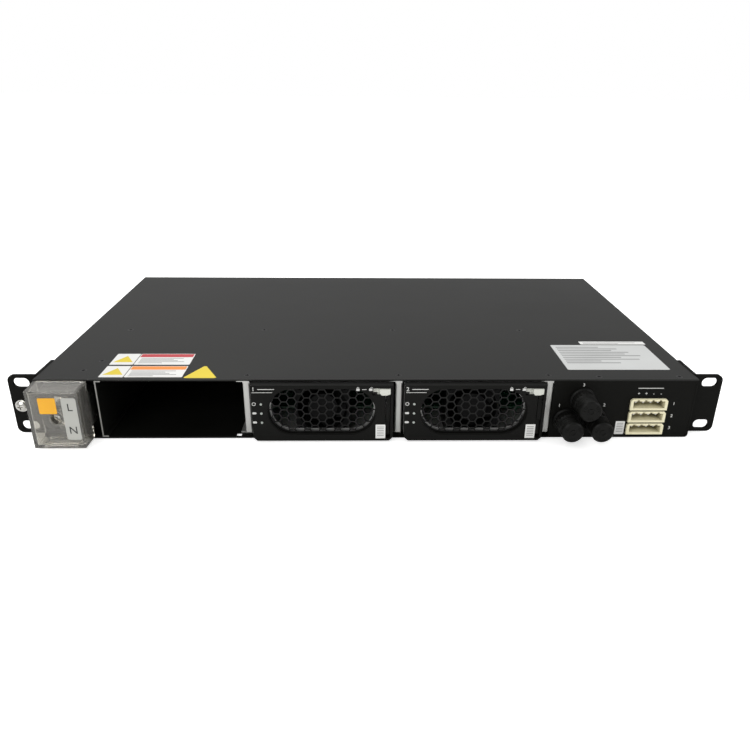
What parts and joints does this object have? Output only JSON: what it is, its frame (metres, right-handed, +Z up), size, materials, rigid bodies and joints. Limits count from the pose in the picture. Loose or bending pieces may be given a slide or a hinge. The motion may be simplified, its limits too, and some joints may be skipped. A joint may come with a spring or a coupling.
{
  "type": "rack power shelf",
  "caption": "Low rack-mount DC power shelf with plug-in rectifier modules, an empty bay, AC input under a clear cover, fuse holders and DC output sockets.",
  "frame": {"origin": "middle of the chassis underside, midway between the side walls and between the front plane and the rear face", "axes": "+X to the right seen from the front, +Y from front to rear, +Z up"},
  "size_m": [0.4826, 0.2755, 0.0439],
  "materials": {
    "black_paint": "fine black powder coat",
    "zinc_plate": "zinc plated sheet steel",
    "bright_screw": "nickel plated steel",
    "dark_screw": "black zinc",
    "bezel_plastic": "fine spark texture",
    "black_plastic": "moulded",
    "cream_plastic": "moulded, slightly glossy",
    "latch_plastic": "moulded off-white",
    "clear_plastic": "clear polycarbonate",
    "light_pipe": "clear light pipe",
    "circuit_board": "solder mask",
    "copper": "bare copper",
    "wire": "wire insulation",
    "fuse_body": "ceramic tube with plated ends"
  },
  "bodies": {
    "shelf": {"base_tray": "black_paint", "top_cover": "black_paint", "case_screws": "dark_screw", "ear_left": "black_paint", "ear_right": "black_paint", "bay_wall": "black_paint", "partition_1": "zinc_plate", "partition_2": "zinc_plate", "partition_3": "zinc_plate", "input_panel": "black_paint", "terminal_block": "black_plastic", "terminal_clamps": "zinc_plate", "terminal_cover": "clear_plastic", "terminal_cover_screw": "bright_screw", "ground_screw": "bright_screw", "output_panel": "black_paint", "fuse_holder_1": "black_plastic", "fuse_holder_2": "black_plastic", "fuse_holder_3": "black_plastic", "fuse_nuts": "black_plastic", "dc_socket_1": "cream_plastic", "dc_socket_2": "cream_plastic", "dc_socket_3": "cream_plastic", "socket_pins": "bright_screw", "output_board": "circuit_board", "backplane": "circuit_board", "backplane_screws": "bright_screw", "bay_connectors": "black_plastic", "busbars": "copper", "input_wires": "wire"},
    "module_1": {"bezel_1": "bezel_plastic", "casing_1": "zinc_plate", "lid_1": "zinc_plate", "grille_1": "black_paint", "fan_frame_1": "black_plastic", "power_board_1": "circuit_board", "module_plug_1": "black_plastic", "light_pipes_1": "light_pipe"},
    "latch_1": {"latch_1": "latch_plastic"},
    "lever_1": {"lever_1": "bezel_plastic"},
    "rotor_1": {"fan_rotor_1": "black_plastic"},
    "module_2": {"bezel_2": "bezel_plastic", "casing_2": "zinc_plate", "lid_2": "zinc_plate", "grille_2": "black_paint", "fan_frame_2": "black_plastic", "power_board_2": "circuit_board", "module_plug_2": "black_plastic", "light_pipes_2": "light_pipe"},
    "latch_2": {"latch_2": "latch_plastic"},
    "lever_2": {"lever_2": "bezel_plastic"},
    "rotor_2": {"fan_rotor_2": "black_plastic"},
    "fuse_1": {"fuse_1": "fuse_body"},
    "cap_1": {"fuse_cap_1": "black_plastic"},
    "fuse_2": {"fuse_2": "fuse_body"},
    "cap_2": {"fuse_cap_2": "black_plastic"},
    "fuse_3": {"fuse_3": "fuse_body"},
    "cap_3": {"fuse_cap_3": "black_plastic"}
  },
  "joints": [
    {"name": "module_1_slide", "type": "slide", "parent": "shelf", "child": "module_1", "axis": [0, -1, 0], "range_m": [0, 0.26]},
    {"name": "latch_1_slide", "type": "slide", "parent": "module_1", "child": "latch_1", "axis": [-1, 0, 0], "range_m": [0, 0.004]},
    {"name": "lever_1_swing", "type": "hinge", "parent": "module_1", "child": "lever_1", "pos_m": [0.0086, -0.1305, 0.0062], "axis": [1, 0, 0], "range_deg": [0, 70]},
    {"name": "rotor_1_spin", "type": "hinge", "parent": "module_1", "child": "rotor_1", "pos_m": [-0.03195, -0.1175, 0.0219], "axis": [0, 1, 0], "continuous": true},
    {"name": "module_2_slide", "type": "slide", "parent": "shelf", "child": "module_2", "axis": [0, -1, 0], "range_m": [0, 0.26]},
    {"name": "latch_2_slide", "type": "slide", "parent": "module_2", "child": "latch_2", "axis": [-1, 0, 0], "range_m": [0, 0.004]},
    {"name": "lever_2_swing", "type": "hinge", "parent": "module_2", "child": "lever_2", "pos_m": [0.1102, -0.1305, 0.0062], "axis": [1, 0, 0], "range_deg": [0, 70]},
    {"name": "rotor_2_spin", "type": "hinge", "parent": "module_2", "child": "rotor_2", "pos_m": [0.06965, -0.1175, 0.0219], "axis": [0, 1, 0], "continuous": true},
    {"name": "fuse_1_pull", "type": "slide", "parent": "shelf", "child": "fuse_1", "axis": [0, -1, 0], "range_m": [0, 0.045]},
    {"name": "cap_1_turn", "type": "hinge", "parent": "fuse_1", "child": "cap_1", "pos_m": [0.1436, -0.1375, 0.0291], "axis": [0, 1, 0], "range_deg": [0, 90]},
    {"name": "fuse_2_pull", "type": "slide", "parent": "shelf", "child": "fuse_2", "axis": [0, -1, 0], "range_m": [0, 0.045]},
    {"name": "cap_2_turn", "type": "hinge", "parent": "fuse_2", "child": "cap_2", "pos_m": [0.13365, -0.1375, 0.0138], "axis": [0, 1, 0], "range_deg": [0, 90]},
    {"name": "fuse_3_pull", "type": "slide", "parent": "shelf", "child": "fuse_3", "axis": [0, -1, 0], "range_m": [0, 0.045]},
    {"name": "cap_3_turn", "type": "hinge", "parent": "fuse_3", "child": "cap_3", "pos_m": [0.15355, -0.1375, 0.0138], "axis": [0, 1, 0], "range_deg": [0, 90]}
  ]
}
